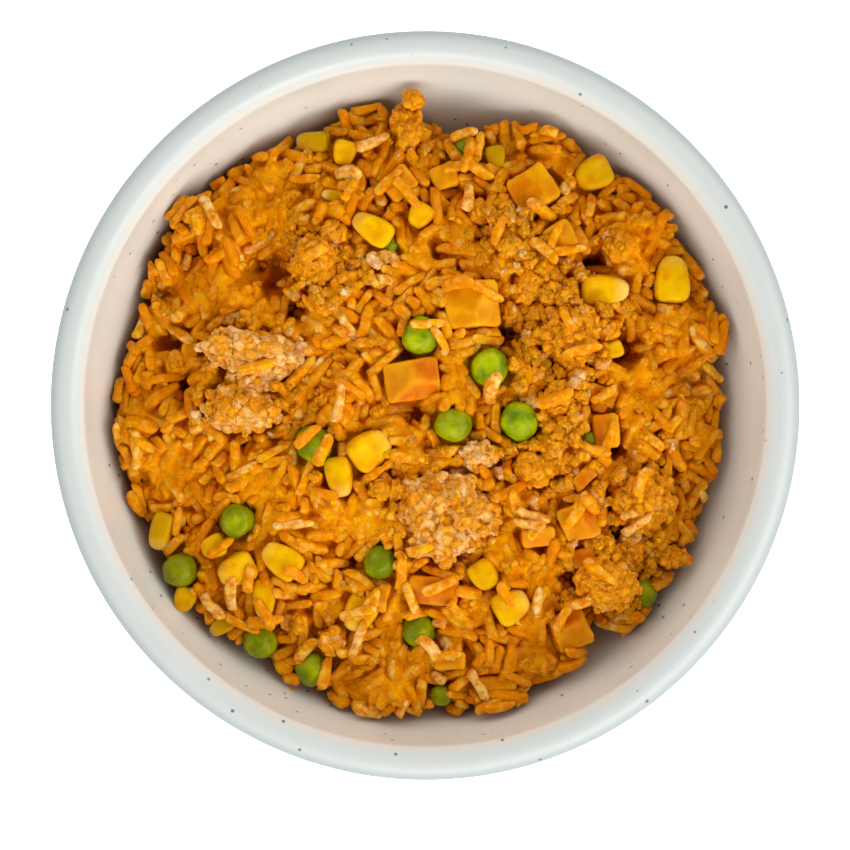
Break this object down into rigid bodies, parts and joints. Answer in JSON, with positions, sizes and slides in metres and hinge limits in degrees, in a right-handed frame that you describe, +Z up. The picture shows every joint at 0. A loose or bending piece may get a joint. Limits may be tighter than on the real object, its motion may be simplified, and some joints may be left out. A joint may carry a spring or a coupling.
{
  "type": "chicken risotto in a bowl",
  "caption": "Heap of orange saucy rice with minced chicken, peas, sweetcorn and diced carrot, in a round speckled off-white glazed bowl.",
  "frame": {"origin": "middle of the foot ring's resting face, on the bowl's axis", "axes": "+Z up along the bowl's axis, +Y towards the top of a picture taken from straight above, +X towards its right"},
  "size_m": [0.16, 0.16, 0.06],
  "materials": {
    "glaze": "glossy off-white stoneware glaze with sparse tiny brown specks",
    "rice_grain": "moist cooked rice coated in orange sauce",
    "pea_skin": "glossy wet green skin",
    "corn_skin": "glossy wet yellow skin",
    "carrot_flesh": "wet cut cooked carrot",
    "chicken_meat": "craggy cooked mince with thin orange sauce"
  },
  "bodies": {
    "root": {"bowl": "glaze", "rice": "rice_grain", "pea_middle_left": "pea_skin", "pea_middle_right": "pea_skin", "pea_carrot": "pea_skin", "pea_centre": "pea_skin", "pea_left": "pea_skin", "pea_lower_left": "pea_skin", "pea_rim_left": "pea_skin", "pea_foot_left": "pea_skin", "pea_foot_right": "pea_skin", "pea_wrinkled": "pea_skin", "pea_sunk": "pea_skin", "pea_rim_right": "pea_skin", "pea_top": "pea_skin", "corn_upper_left": "corn_skin", "corn_upper_middle": "corn_skin", "corn_top_left": "corn_skin", "corn_top_edge": "corn_skin", "corn_top_right": "corn_skin", "corn_right": "corn_skin", "corn_rim_right": "corn_skin", "corn_blocky": "corn_skin", "corn_beside_blocky": "corn_skin", "corn_left_small": "corn_skin", "corn_left": "corn_skin", "corn_lower_left": "corn_skin", "corn_upright": "corn_skin", "corn_rim_left": "corn_skin", "corn_foot": "corn_skin", "corn_under_chicken": "corn_skin", "corn_lower_right": "corn_skin", "carrot_upper_right": "carrot_flesh", "carrot_top": "carrot_flesh", "carrot_middle": "carrot_flesh", "carrot_centre": "carrot_flesh", "carrot_lower": "carrot_flesh", "carrot_foot_right": "carrot_flesh", "carrot_right": "carrot_flesh", "carrot_upper_small": "carrot_flesh", "carrot_right_small": "carrot_flesh", "carrot_slab": "carrot_flesh", "carrot_top_small": "carrot_flesh", "carrot_flat": "carrot_flesh", "carrot_foot_slab": "carrot_flesh", "chicken_centre": "chicken_meat", "chicken_left_upper": "chicken_meat", "chicken_left_lower": "chicken_meat", "chicken_right": "chicken_meat", "chicken_lower_right": "chicken_meat", "chicken_ragged": "chicken_meat", "chicken_top": "chicken_meat", "chicken_by_pea": "chicken_meat", "chicken_upper": "chicken_meat", "chicken_middle_right": "chicken_meat", "chicken_beside": "chicken_meat", "chicken_edge": "chicken_meat", "chicken_foot": "chicken_meat", "chicken_upper_left": "chicken_meat"}
  },
  "joints": []
}
